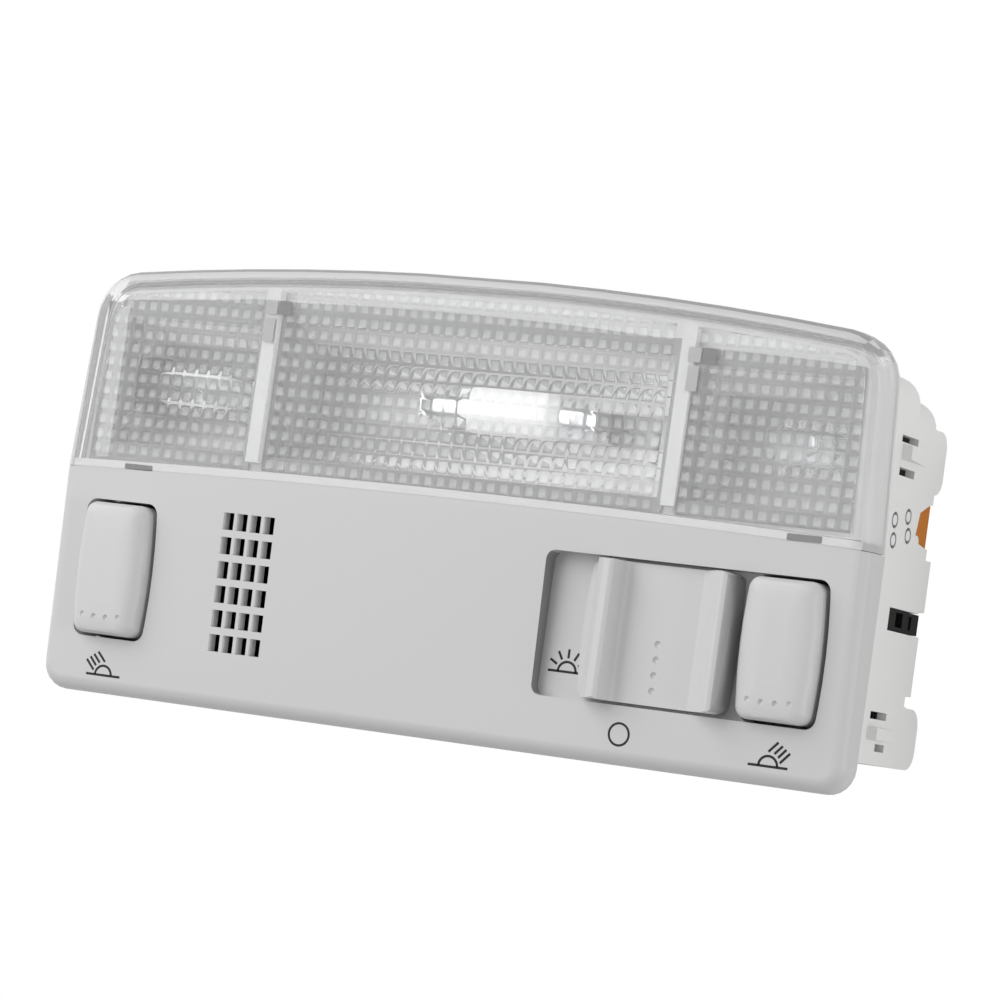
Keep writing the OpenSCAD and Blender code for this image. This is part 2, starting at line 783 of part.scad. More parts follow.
module dome_bulb_caps() {
    color(steel) dome_axis() for (s = [0, 1]) mirror([0, 0, s])
        translate([0, 0, dome_glass_l / 2]) rotate_extrude()
            polygon([[0, 0], [cap_d / 2, 0], [cap_d / 2, cap_l], [cap_tip_r, cap_l + cap_tip_l],
                     [0, cap_l + cap_tip_l]]);
}

module dome_bulb_filament() {
    color(steel) dome_axis() {
        cylinder(d = 1, h = 16, center = true, $fn = 16);
        cylinder(d = 0.5, h = dome_glass_l - 2 * bulb_wall, center = true, $fn = 16);
    }
}

// Contact clip: a leaf with a hole for the cap's tip, and a foot on the strips below
clip_t = 0.5;
clip_w = 5.4;
clip_in = 1;
clip_foot_l = 8;
clip_place = dome_bulb_l / 2 - clip_in;
clip_hole_r = cap_tip_r + (cap_d / 2 - cap_tip_r) * clip_in / cap_tip_l + 0.1;

module bulb_clip() {
    difference() {
        union() {
            span([clip_place, centre_y - clip_w / 2, -strip_d],
                 [clip_place + clip_t, centre_y + clip_w / 2, -dome_d + clip_hole_r + 1.6]);
            span([clip_place, centre_y - clip_w / 2, -strip_d],
                 [clip_place + clip_foot_l, centre_y + clip_w / 2, -strip_d + clip_t]);
        }
        translate([clip_place, centre_y, -dome_d]) rotate([0, 90, 0])
            cylinder(r = clip_hole_r, h = 4, center = true);
    }
}

module left_bulb_clip() { color(brass) in_face() translate([dome_x, 0, 0]) mirror([1, 0, 0]) bulb_clip(); }
module right_bulb_clip() { color(brass) in_face() translate([dome_x, 0, 0]) bulb_clip(); }

// Reading bulb: wedge-base glass that lies along x, in a holder at the housing's side
nose_d = 12.4;
nose_l = 5;
holder_t = 2.4;
holder_x = house_half - house_wall;
base_l = 5;

module map_axis() {
    translate([holder_x - holder_t - nose_l, map_y, -map_d]) rotate([0, -90, 0]) children();
}

module map_bulb() {
    difference() {
        union() {
            rotate_extrude() translate([0, map_bulb_l / 2]) capsule_profile(map_bulb_d, map_bulb_l);
            translate([-1, -3.6, -base_l]) cube([2, 7.2, base_l + 2]);
        }
        rotate_extrude() translate([0, map_bulb_l / 2 + 1])
            capsule_profile(map_bulb_d - 2 * bulb_wall, map_bulb_l - 2 - 2 * bulb_wall);
        for (s = [-1, 1]) translate([0, s * 2, -base_l - over]) cylinder(d = 0.7, h = base_l + 6, $fn = 16);
    }
}

module map_filament() {
    for (s = [-1, 1]) translate([0, s * 2, -base_l]) cylinder(d = 0.5, h = base_l + 9, $fn = 16);
    translate([0, 0, 9]) rotate([90, 0, 0]) cylinder(d = 0.9, h = 4.4, center = true, $fn = 16);
}

module map_holder() {
    difference() {
        union() {
            span([holder_x - holder_t, map_y - nose_d / 2, -step2_d + house_wall + seat_gap],
                 [holder_x, map_y + nose_d / 2, -plate_back]);
            map_axis() translate([0, 0, -nose_l]) cylinder(d = nose_d, h = nose_l);
        }
        map_axis() translate([-1.2, -3.8, -base_l - 0.2]) cube([2.4, 7.6, base_l + 0.2 + over]);
    }
}

module left_bulb() { color(clear) in_face() mirror([1, 0, 0]) map_axis() map_bulb(); }
module right_bulb() { color(clear) in_face() map_axis() map_bulb(); }
module left_bulb_filament() { color(steel) in_face() mirror([1, 0, 0]) map_axis() map_filament(); }
module right_bulb_filament() { color(steel) in_face() map_axis() map_filament(); }
module left_bulb_holder() { color(black) in_face() mirror([1, 0, 0]) map_holder(); }
module right_bulb_holder() { color(black) in_face() map_holder(); }

// Crowned button form, reduced all round by a wall
crown = [[0, 0, -2.9], [0.35, 0.15, -1.9], [1.1, 0.35, -1.1], [2, 0.7, -0.55], [3, 1.5, -0.25],
         [4.2, 3.4, -0.1], [5.4, 7, 0]];

module button_form(in, foot) {
    hull() {
        translate([0, open_mid_y, -foot]) linear_extrude(0.02)
            bowed(button_w - 2 * in, button_h - 2 * in, open_bow, open_r);
        on_tilt() for (c = crown) translate([0, 0, crown_h + c.z - in - 0.02]) linear_extrude(0.02)
            bowed(button_w - 2 * (in + c.x), button_h - 2 * (in + c.y), open_bow * (1 - c.y / 12),
                  open_r - 0.2 * c.y);
    }
}

module rocker() {
    difference() {
        button_form(0, skirt_d);
        button_form(button_wall, skirt_d + over);
        on_tilt() for (i = [-1.5:1:1.5]) translate([i * dimple_pitch,
            open_y + dimple_y - open_mid_y + i * i * dimple_pitch * dimple_pitch / (2 * dimple_arc_r),
            crown_h - 0.24 + dimple_d / 4])
            sphere(d = dimple_d, $fn = 16);
    }
    for (s = [-1, 1]) translate([s * (button_w / 2 - button_wall / 2), pivot_y, -pivot_d_z])
        rotate([0, s * 90, 0]) cylinder(d = pivot_d, h = button_gap_x + pivot_grip + button_wall / 2);
    translate([0, stem_y, -stem_l]) cylinder(d = stem_d, h = stem_l + crown_h - button_wall - 0.5);
}

module left_rocker() { color(grey) in_face() translate([-open_x, 0, 0]) rocker(); }
module right_rocker() { color(grey) in_face() translate([open_x, 0, 0]) rocker(); }

// Push switch under a button: body on the feed strip, plunger in its bore
switch_top = stem_l + press_gap + 1;

module push_switch() {
    difference() {
        span([-switch_w / 2, stem_y - switch_l / 2, -strip_d],
             [switch_w / 2, stem_y + switch_l / 2, -switch_top]);
        translate([0, stem_y, -switch_top - 7]) cylinder(d = plunger_d + 0.1, h = 8);
    }
}

module switch_plunger() {
    translate([0, stem_y, -switch_top - 5.5]) cylinder(d = plunger_d, h = 5.5 + 1);
}

module left_switch() { color(black) in_face() translate([-open_x, 0, 0]) push_switch(); }
module right_switch() { color(black) in_face() translate([open_x, 0, 0]) push_switch(); }
module left_switch_plunger() { color(pale) in_face() translate([-open_x, 0, 0]) switch_plunger(); }
module right_switch_plunger() { color(pale) in_face() translate([open_x, 0, 0]) switch_plunger(); }

// Slider knob: lip, ridges and scoop drawn in x and z, cut to the outline seen from the front
module knob_profile() {
    offset(r = 1, $fn = 64) offset(delta = -1) offset(r = -1.8, $fn = 64) offset(delta = 1.8) polygon([
        [knob_x0 + lip_w, -knob_floor], [knob_x0 + lip_w, -knob_floor + 0.8],
        [scoop_x0 - 4.2, ridge_h - 2.9], [scoop_x0 - 2, ridge_h - 0.6], [scoop_x0 - 0.4, ridge_h],
        [scoop_x0 + 0.3, ridge_h - 0.3], [scoop_x0 + 1.5, ridge_h - scoop_d],
        [scoop_x1 - 5.6, ridge_h - scoop_d], [scoop_x1 - 2.2, ridge_h - 1.8], [scoop_x1, ridge_h],
        [scoop_x1 + 1.2, ridge_h - 0.5], [knob_x1, ridge_h - 2.6], [knob_x1, -knob_floor]]);
    translate([knob_x0, -knob_floor]) square([knob_w - 1.4, lip_t]);
}

module slider_knob() {
    mid = [(knob_x0 + knob_x1) / 2, open_mid_y];
    color(grey) in_face() {
        difference() {
            intersection() {
                translate([0, open_mid_y + knob_h / 2, 0]) rotate([90, 0, 0]) linear_extrude(knob_h) knob_profile();
                drop(-ridge_h - over, knob_floor) translate(mid) bowed(knob_w, knob_h, open_bow, knob_r);
                upright(knob_x0 - over, knob_x1 + over) translate([open_y + button_gap_y, -knob_floor])
                    offset(r = 0.8) offset(delta = -0.8) square([knob_h, knob_floor + ridge_h]);
            }
            span([knob_x0 + 5, open_y + 3, -knob_floor - over], [scoop_x0 + 0.3, open_y + open_h - 3, -0.6]);
            for (i = [0:3]) translate([post_x + 0.6, open_y + 3.6 + i * dimple_pitch * 1.04,
                ridge_h - scoop_d + dimple_d / 4]) sphere(d = dimple_d + 0.3, $fn = 16);
        }
        span([post_x - post_w / 2, open_mid_y - post_l / 2, -carriage_d],
             [post_x + post_w / 2, open_mid_y + post_l / 2, -knob_floor + lip_t]);
    }
}

module slider_carriage() {
    color(pale) in_face() span([post_x - carriage_w / 2, open_mid_y - carriage_l / 2, -carriage_d - carriage_t],
                               [post_x + carriage_w / 2, open_mid_y + carriage_l / 2, -carriage_d]);
}

// Wiper: a sprung bridge under the carriage, bent from strip
module slider_wiper() {
    top = carriage_d + carriage_t;
    color(brass) in_face() for (s = [-1, 1])
        translate([post_x, open_mid_y + s * 5 + wiper_w / 2, 0]) rotate([90, 0, 0]) linear_extrude(wiper_w)
            polygon([[-5, -top], [-5, -top - 0.5], [-4.4, -top - 0.5], [-1.4, -top - wiper_d],
                     [1.4, -top - wiper_d], [4.4, -top - 0.5], [5, -top - 0.5], [5, -top], [4.2, -top],
                     [1.1, -top - wiper_d + 0.5], [-1.1, -top - wiper_d + 0.5], [-4.2, -top]]);
}

module slider_switch() {
    color(black) in_face() span([post_x - slide_travel - 8, open_mid_y - 9, -strip_d],
                                [post_x + 8, open_mid_y + 9, -contact_d - strip_t]);
}

module slider_contacts() {
    color(brass) in_face() for (s = [-1, 1]) for (i = [0:2])
        translate([post_x - slide_travel - 6 + i * 8, open_mid_y + s * 5 - wiper_w / 2, -contact_d - strip_t])
            cube([6, wiper_w, strip_t]);
}

// Grille screen and the microphone behind it
screen_t = 0.8;
mic_d = 9.7;
mic_l = 6;
mic_holder_t = 2;

module grille_screen() { color(black) in_face() grille_block(0.8, grille_d, grille_d + screen_t); }

module mic_place() {
    in_face() on_tilt() translate([grille_x + grille_all_w / 2, 0, -grille_d - screen_t]) children();
}

module microphone() {
    color(steel) mic_place() translate([0, 0, -mic_l]) cylinder(d = mic_d, h = mic_l);
}

module microphone_holder() {
    color(black) mic_place() translate([0, 0, -mic_l - mic_holder_t]) difference() {
        cylinder(d = mic_d + 2 * mic_holder_t, h = mic_l + mic_holder_t);
        translate([0, 0, mic_holder_t]) cylinder(d = mic_d + 0.1, h = mic_l + over);
    }
}

// Connector shells, open to the back, each with a pad that fills its notch in the side wall
module plug_pad(end) {
    upright(plug_x1 - 0.1, pad_x1) intersection() {
        offset(delta = -pad_gap) children();
        translate([0, -end]) square([face_h, end]);
    }
}

module plug_shell(w, y, top, end, floor_t) {
    difference() {
        span([plug_x1 - w, y[0], -end], [plug_x1, y[1], -top]);
        span([plug_x1 - w + plug_wall, y[0] + plug_wall, -end - over],
             [plug_x1 - plug_wall, y[1] - plug_wall, -top - floor_t]);
    }
}

module plug_pins(w, y, from, to, d, places) {
    for (x = places) translate([plug_x1 - w / 2 + x, (y[0] + y[1]) / 2, -to])
        cylinder(d = d, h = to - from, $fn = 16);
}

lamp_pins = [-3.2, 0, 3.2];
switch_pins = [-2, 2];
switch_plug_floor = 3;

module lamp_connector() {
    color(amber) in_face() difference() {
        union() {
            plug_shell(lamp_plug_w, lamp_plug_y, lamp_plug_top, lamp_plug_end, plug_wall);
            plug_pad(lamp_plug_end) lamp_plug_notch();
        }
        plug_pins(lamp_plug_w, lamp_plug_y, lamp_plug_top - over, lamp_plug_top + 2, 1.1, lamp_pins);
    }
}

module lamp_connector_pins() {
    color(brass) in_face()
        plug_pins(lamp_plug_w, lamp_plug_y, lamp_plug_top - 1.2, lamp_plug_end - 1.2, 1, lamp_pins);
}

module switch_connector() {
    color(black) in_face() difference() {
        union() {
            plug_shell(switch_plug_w, switch_plug_y, switch_plug_top, switch_plug_end, switch_plug_floor);
            plug_pad(switch_plug_end) switch_plug_notch();
        }
        span([plug_x1 - 2 * plug_wall, switch_plug_y[0] + 1.7, -back_d + 7.2],
             [pad_x1 + over, switch_plug_y[1] - plug_wall - 0.4, -back_d + 10.8]);
        span([plug_x1 - 2 * plug_wall, switch_plug_y[0] + 1.7, -back_d + 2.4],
             [pad_x1 + over, switch_plug_y[1] - plug_wall - 0.6, -back_d + 3.8]);
        plug_pins(switch_plug_w, switch_plug_y, switch_plug_top - over, switch_plug_top + 4, 1.1, switch_pins);
    }
}

module switch_connector_pins() {
    color(brass) in_face()
        plug_pins(switch_plug_w, switch_plug_y, switch_plug_top - 0.6, switch_plug_end - 3, 1, switch_pins);
}

// Stamped strips on the housing floor
module strip(parts) {
    color(brass) in_face() for (p = parts) translate([p[0], p[1], -floor_d]) cube([p[2] - p[0], p[3] - p[1], strip_t]);
}

strip_w = 6;
narrow_strip_w = 1.6;
strip_end = 8;
earth_y = deep_y - house_wall - 0.2;
feed_y = stem_y - strip_w / 2;
link_y = feed_y + strip_w + 0.6;

module feed_strip() { strip([[-open_x - strip_w, feed_y, open_x + strip_w, feed_y + strip_w]]); }

module earth_strip() {
    left = dome_x - clip_place;
    strip([[-house_half + strip_end, earth_y - narrow_strip_w, house_half - strip_end, earth_y],
           [left - clip_foot_l, centre_y - 1, left - clip_t, earth_y - 1]]);
}

module dome_strip() {
    right = dome_x + clip_place;
    x1 = post_x + post_w / 2;
    strip([[x1 - strip_w, open_mid_y + strip_w, x1, centre_y], [right + clip_t, centre_y - 5, x1, centre_y]]);
}

module left_lamp_strip() {
    x0 = -open_x - switch_w / 2;
    strip([[x0, link_y, x0 + strip_w, map_y]]);
}

module right_lamp_strip() {
    x0 = open_x - switch_w / 2;
    strip([[x0, link_y, x0 + strip_w - 1, map_y]]);
}

module bezel_screws() {
    color(steel) in_face() for (p = screw_places) translate([p.x, p.y, 0]) difference() {
        union() {
            translate([0, 0, -head_seat_d]) cylinder(d = screw_d, h = head_seat_d - screw_tip_d);
            translate([0, 0, -head_seat_d - head_t]) cylinder(d = screw_head_d, h = head_t);
        }
        for (a = [0, 90]) rotate([0, 0, a]) translate([0, 0, -head_seat_d - head_t])
            cube([3.4, 0.8, 2.2], center = true);
    }
}

bezel();
lens();
rear_housing();
centre_reflector();
left_reflector();
right_reflector();
dome_bulb_glass();
dome_bulb_caps();
dome_bulb_filament();
left_bulb_clip();
right_bulb_clip();
left_bulb();
left_bulb_filament();
left_bulb_holder();
right_bulb();
right_bulb_filament();
right_bulb_holder();
left_rocker();
right_rocker();
left_switch();
right_switch();
left_switch_plunger();
right_switch_plunger();
slider_knob();
slider_carriage();
slider_wiper();
slider_switch();
slider_contacts();
grille_screen();
microphone();
microphone_holder();
lamp_connector();
lamp_connector_pins();
switch_connector();
switch_connector_pins();
feed_strip();
earth_strip();
dome_strip();
left_lamp_strip();
right_lamp_strip();
bezel_screws();
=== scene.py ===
"""Looks of a car dome light: materials, printed symbols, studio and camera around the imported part."""
import math

import bpy
from mathutils import Matrix, Vector


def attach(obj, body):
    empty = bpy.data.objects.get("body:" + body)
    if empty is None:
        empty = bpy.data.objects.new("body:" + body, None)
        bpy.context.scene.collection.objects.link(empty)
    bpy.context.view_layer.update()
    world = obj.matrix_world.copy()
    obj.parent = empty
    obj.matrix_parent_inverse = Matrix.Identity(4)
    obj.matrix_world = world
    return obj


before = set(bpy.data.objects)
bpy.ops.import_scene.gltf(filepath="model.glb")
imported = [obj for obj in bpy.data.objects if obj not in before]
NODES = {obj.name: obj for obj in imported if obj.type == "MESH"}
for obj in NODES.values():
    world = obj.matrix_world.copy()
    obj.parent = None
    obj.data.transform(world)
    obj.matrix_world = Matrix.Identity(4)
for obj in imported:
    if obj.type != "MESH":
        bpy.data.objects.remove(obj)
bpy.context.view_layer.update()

MM = 0.001

# Sizes of the part's source, in mm of its face frame: y up from the bezel's lower edge, z from the face
FACE_W = 188.0
FACE_H = 95.4
FACE_Z = 43.6
FACE_TILT = math.radians(2.6)
CREASE_Y = 48.0
RECESS_FLOOR_Z = -4.5
SEAM_Y = 49.2
SEAM_R = 2700.0
ARCH_R = 750.0
PRISM_TOP = 2.55
HOUSE_HALF = 91.2
DIVIDER_X = 48.6
# Inset from the side and depth of the face where it falls away
CROWN = ((0, -2.9), (0.35, -1.9), (1.1, -1.1), (2, -0.55), (3, -0.25), (4.2, -0.1), (5.4, 0))


def in_face(x, y, z):
    """A place of the face frame, in mm, as a place of the part's frame, in metres."""
    return Vector((x, y - FACE_H / 2, z + FACE_Z)) * MM


def height(y):
    return (y - FACE_H / 2) * MM


def depth(below_face):
    return (FACE_Z - below_face) * MM


def face_z(y):
    """Depth of the bezel's face, which leans back below its crease."""
    return -max(0.0, CREASE_Y - y) * math.tan(FACE_TILT)


def crown_z(x):
    """Depth of the face where it falls away near its sides."""
    inset = FACE_W / 2 - abs(x)
    for (a, za), (b, zb) in zip(CROWN, CROWN[1:]):
        if inset < b:
            return za + (zb - za) * (inset - a) / (b - a)
    return 0.0


# Materials

GRAIN_SCALE = 2600.0
GRAIN_DETAIL = 4.0
GRAIN_DEPTH = 0.02
# How much of a lamp's light clear parts let through to what lies behind them
CLEAR_SHADOW = 0.88
CLEAR_TINT = (0.98, 0.985, 0.985)


def grey(level):
    return (level, level, level)


def new_material(name, color, roughness):
    material = bpy.data.materials.new(name)
    material.use_nodes = True
    shader = material.node_tree.nodes["Principled BSDF"]
    shader.inputs["Base Color"].default_value = (*color, 1.0)
    shader.inputs["Roughness"].default_value = roughness
    return material, shader


def add_grain(tree, shader, strength):
    """Fine moulded grain: a noise bump in the object's own coordinates."""
    coords = tree.nodes.new("ShaderNodeTexCoord")
    noise = tree.nodes.new("ShaderNodeTexNoise")
    noise.inputs["Scale"].default_value = GRAIN_SCALE
    noise.inputs["Detail"].default_value = GRAIN_DETAIL
    bump = tree.nodes.new("ShaderNodeBump")
    bump.inputs["Strength"].default_value = strength
    bump.inputs["Distance"].default_value = GRAIN_DEPTH * MM
    tree.links.new(coords.outputs["Object"], noise.inputs["Vector"])
    tree.links.new(noise.outputs["Fac"], bump.inputs["Height"])
    tree.links.new(bump.outputs["Normal"], shader.inputs["Normal"])


def moulding(name, color, roughness, specular=0.4, grain=0.0):
    """Moulded plastic, with or without grain, or print."""
    material, shader = new_material(name, color, roughness)
    shader.inputs["Specular IOR Level"].default_value = specular
    if grain:
        add_grain(material.node_tree, shader, grain)
    return material


def metal(name, color, roughness, metallic=1.0):
    """Metal, or metallised plastic where metallic is well below 1."""
    material, shader = new_material(name, color, roughness)
    shader.inputs["Metallic"].default_value = metallic
    return material


def clear(name, color, roughness, ior, milky):
    """Clear plastic or glass, which lets the lamps' light through to what lies behind it."""
    material, shader = new_material(name, color, roughness)
    shader.inputs["Transmission Weight"].default_value = 1.0 - milky
    shader.inputs["IOR"].default_value = ior
    tree = material.node_tree
    path = tree.nodes.new("ShaderNodeLightPath")
    open_to_light = tree.nodes.new("ShaderNodeBsdfTransparent")
    open_to_light.inputs["Color"].default_value = (*grey(CLEAR_SHADOW), 1.0)
    mix = tree.nodes.new("ShaderNodeMixShader")
    tree.links.new(path.outputs["Is Shadow Ray"], mix.inputs["Fac"])
    tree.links.new(shader.outputs["BSDF"], mix.inputs[1])
    tree.links.new(open_to_light.outputs["BSDF"], mix.inputs[2])
    tree.links.new(mix.outputs["Shader"], tree.nodes["Material Output"].inputs["Surface"])
    return material


BEZEL = moulding("bezel_grey", grey(0.60), roughness=0.42, grain=0.35)
BUTTON = moulding("button_grey", grey(0.62), roughness=0.38, grain=0.2)
# Painted shade: a darker copy of the button grey for the slider knob's right end
KNOB_END_SHADE = moulding("knob_end_shade", grey(0.40), roughness=0.45, grain=0.2)
HOUSING = moulding("housing_pale", (0.80, 0.80, 0.79), roughness=0.45, grain=0.2)
# Pale plastic of the slider carriage and plungers, also painted on the reflectors' downward walls as light
PALE = moulding("inner_pale", (0.78, 0.78, 0.77), roughness=0.5)
# Painted light: the grille slots' right-facing walls, much paler than the bezel grey
SLOT_WALL_LIGHT = moulding("slot_wall_light", grey(0.95), roughness=0.5)
SHADE = moulding("grey_in_shade", grey(0.27), roughness=0.5, specular=0.2)
LEDGE = moulding("seam_ledge", grey(0.56), roughness=0.6, specular=0.2)
# Painted shade: the housing's plate and dividers behind the lens, darker than the housing's own pale grey
PLATE_SHADE = moulding("lamp_plate_shade", grey(0.50), roughness=0.6, specular=0.2)
# Painted shade: two greys for the catches behind the lens, the darker one for their deeper shade
CATCH = moulding("catch_shade", grey(0.12), roughness=0.6, specular=0.2)
CATCH_HALF_SHADE = moulding("catch_half_shade", grey(0.36), roughness=0.6, specular=0.2)
# Dark grey of the reflectors' rims, also painted on the reflectors' front lips as shade
RIM = moulding("reflector_rim", grey(0.18), roughness=0.7, specular=0.1)
SCREEN = moulding("black_screen", grey(0.002), roughness=0.8, specular=0.0)
BLACK = moulding("black_plastic", (0.008, 0.008, 0.009), roughness=0.55, specular=0.2)
AMBER = moulding("amber_plastic", (0.52, 0.17, 0.012), roughness=0.5, specular=0.25)
PRINT = moulding("black_print", grey(0.012), roughness=0.6)
# Painted highlight: white strips on the left bulb's glass
GLINT = moulding("bulb_glint", grey(1.0), roughness=0.3, specular=0.8)
LENS = clear("lens_clear", CLEAR_TINT, roughness=0.03, ior=1.35, milky=0.1)
# Painted light: a milkier copy of the lens for the prisms' flat tops
LENS_FACET_LIGHT = clear("lens_facet", CLEAR_TINT, roughness=0.03, ior=1.35, milky=0.25)
# Painted shade: a darker tinted copy of the lens for the prisms' lower flanks
LENS_FLANK_SHADE = clear("lens_flank", grey(0.72), roughness=0.03, ior=1.4, milky=0.1)
# Painted light: a milky white copy of the lens for its foot and side walls
LENS_EDGE_LIGHT = clear("lens_edge", grey(0.77), roughness=0.2, ior=1.3, milky=0.6)
# Painted shade: a dark grey copy of the lens for its steep outer strip
LENS_OUTLINE_SHADE = clear("lens_outline", grey(0.38), roughness=0.25, ior=1.3, milky=0.7)
BULB = clear("bulb_glass", (0.98, 0.985, 0.99), roughness=0.05, ior=1.15, milky=0.04)
FROSTED = clear("bulb_frosted", grey(1.0), roughness=0.25, ior=1.3, milky=0.9)
MIRROR = metal("reflector_satin", grey(0.53), roughness=0.38, metallic=0.4)
# The centre reflector: the satin reflector painted darker as shade, with painted glare in its middle round
# the bulb
MIRROR_SHADE = metal("reflector_satin_shade", grey(0.34), roughness=0.38, metallic=0.4)
MIRROR_GLARE = metal("reflector_painted_glare", grey(0.84), roughness=0.34, metallic=0.4)
STEEL = metal("plated_steel", (0.62, 0.63, 0.65), roughness=0.3)
BRASS = metal("stamped_brass", (0.74, 0.56, 0.28), roughness=0.35)
CLIP = metal("tinned_clip", (0.72, 0.72, 0.71), roughness=0.3)

LOOKS = (
    (BEZEL, ("bezel",)),
    (LENS, ("lens",)),
    (HOUSING, ("rear_housing",)),
    (MIRROR_SHADE, ("centre_reflector",)),
    (MIRROR, ("left_reflector", "right_reflector")),
    (FROSTED, ("dome_bulb_glass",)),
    (BULB, ("left_bulb", "right_bulb")),
    (BUTTON, ("left_rocker", "right_rocker", "slider_knob")),
    (PALE, ("slider_carriage", "left_switch_plunger", "right_switch_plunger")),
    (AMBER, ("lamp_connector",)),
    (CLIP, ("left_bulb_clip", "right_bulb_clip")),
    (SCREEN, ("grille_screen",)),
    (STEEL, ("dome_bulb_caps", "dome_bulb_filament", "left_bulb_filament", "right_bulb_filament",
             "microphone", "bezel_screws")),
    (BRASS, ("slider_wiper", "slider_contacts", "lamp_connector_pins", "switch_connector_pins", "feed_strip",
             "earth_strip", "dome_strip", "left_lamp_strip", "right_lamp_strip")),
    (BLACK, ("left_bulb_holder", "right_bulb_holder", "left_switch", "right_switch", "slider_switch",
             "microphone_holder", "switch_connector")),
)

for material, names in LOOKS:
    for name in names:
        NODES[name].data.materials.clear()
        NODES[name].data.materials.append(material)


# Painted areas of the solids, chosen by the place and facing of each face

class FaceTest:
    """Arithmetic on a solid's faces inside a node group: 1 where a face belongs to an area, 0 elsewhere."""

    def __init__(self, tree):
        self.tree = tree
        self.place = self.split("GeometryNodeInputPosition", "Position")
        self.facing = self.split("GeometryNodeInputNormal", "Normal")

    def split(self, source, output):
        """X, Y and Z of what a source node reads from a face."""
        parts = self.tree.nodes.new("ShaderNodeSeparateXYZ")
        self.tree.links.new(self.tree.nodes.new(source).outputs[output], parts.inputs["Vector"])
        return parts.outputs

    def number(self, operation, *values):
        """One step of arithmetic; each value is a socket or a number."""
        node = self.tree.nodes.new("ShaderNodeMath")
        node.operation = operation
        for socket, value in zip(node.inputs, values):
            if isinstance(value, (int, float)):
                socket.default_value = value
            else:
                self.tree.links.new(value, socket)
        return node.outputs["Value"]

    def above(self, value, limit):
        return self.number("GREATER_THAN", value, limit)

    def below(self, value, limit):
        return self.number("LESS_THAN", value, limit)

    def both(self, first, second):
        return self.number("MULTIPLY", first, second)

    def either(self, first, second):
        return self.number("MAXIMUM", first, second)

    def between(self, value, limits):
        low, high = limits
        return self.both(self.above(value, low), self.below(value, high))

    def across(self, limits):
        """Faces between two places in mm along x."""
        return self.between(self.place["X"], [x * MM for x in limits])

    def size(self, value):
        return self.number("ABSOLUTE", value)

    def above_arc(self, radius, middle):
        """Faces above an arc whose middle is at the given height."""
        square = self.number("MULTIPLY", self.place["X"], self.place["X"])
        raised = self.number("ADD", self.place["Y"], self.number("DIVIDE", square, 2 * radius * MM))
        return self.above(raised, height(middle))


# Limits of the areas: places and depths below the face in mm, and facings as cosines to an axis
TURNED = 0.6
LENS_FOOT = 1.3
LENS_SIDE_X = 91.0
LENS_TOP = 2.5
LENS_LEVEL = 0.97
LENS_STEEP = 0.7
FACET_SPREAD = 0.1
FACET_LEVEL = 0.9
FLANK_DOWN = 0.3
FLANK_BACK = 0.4
PLATE_DEPTHS = (5.4, 0.4)
PLATE_LEVEL = 0.9
GLARE_X = (-11.0, 27.0)
GLINT_SLOPES = (0.5, 0.85)
GLINT_FRONT = 0.2
LIP_DEPTH = 8.2
BROW_DEPTH = 16.0
BROW_DOWN = 0.5
WELL_X = (0.0, 85.0)
SLOT_X = (-62.0, -35.0)
KNOB_END_X = 60.0
RING_DEPTHS = (0.7, 0.2)
RING_Y = (49.0, 59.5)
RING_TURN = -0.5


def lens_edge_light_area(face):
    """The lens foot along the arched seam and the lens's side walls, painted milky and whiter than the clear
    face as light gathered in them.
    """
    foot = face.below(face.above_arc(SEAM_R, SEAM_Y + LENS_FOOT), 0.5)
    wall = face.below(face.size(face.facing["Z"]), LENS_LEVEL)
    side = face.above(face.size(face.place["X"]), LENS_SIDE_X * MM)
    top = face.above_arc(ARCH_R, FACE_H - LENS_TOP)
    return face.either(foot, face.both(wall, face.either(side, top)))


def lens_outline_shade_area(face):
    """The steep outermost strip of the lens at its left side and top, painted darker as shade."""
    left = face.below(face.place["X"], -LENS_SIDE_X * MM)
    top = face.above_arc(ARCH_R, FACE_H - LENS_TOP)
    steep = face.either(face.below(face.facing["X"], -LENS_STEEP), face.above(face.facing["Y"], LENS_STEEP))
    return face.both(face.either(left, top), steep)


def lens_facet_light_area(face):
    """The small flat tops of the prisms, painted milkier as the light they catch."""
    level = face.number("COMPARE", face.place["Z"], depth(PRISM_TOP), FACET_SPREAD * MM)
    return face.both(level, face.below(face.facing["Z"], -FACET_LEVEL))


def lens_flank_shade_area(face):
    """The prisms' lower flanks, which lie in shade: tinted darker as painted shade."""
    return face.both(face.below(face.facing["Y"], -FLANK_DOWN), face.below(face.facing["Z"], -FLANK_BACK))


def plate_shade_area(face):
    """Front of the housing's plate and of its dividers, behind the lens, painted darker than the housing as
    shade.
    """
    near = face.between(face.place["Z"], [depth(limit) for limit in PLATE_DEPTHS])
    return face.both(near, face.above(face.facing["Z"], PLATE_LEVEL))


def glare_area(face):
    """The brighter middle of the centre reflector, round the bulb, painted as glare."""
    return face.across(GLARE_X)


def glint_area(face):
    """Two lengthwise strips of a side bulb's glass, painted white as a highlight."""
    strips = face.between(face.size(face.facing["Y"]), GLINT_SLOPES)
    return face.both(strips, face.above(face.facing["Z"], GLINT_FRONT))


def lip_area(face):
    """Front lips of the reflectors and the first part of their walls, which see no light: painted dark as
    shade.
    """
    return face.above(face.place["Z"], depth(LIP_DEPTH))


def brow_area(face):
    """Downward walls behind the same lips, painted pale as light against their shade."""
    front = face.above(face.place["Z"], depth(BROW_DEPTH))
    return face.both(front, face.below(face.facing["Y"], -BROW_DOWN))


def well_area(face):
    """Right-facing walls of the openings in the face's right half, which lie in shade."""
    return face.both(face.above(face.facing["X"], TURNED), face.across(WELL_X))


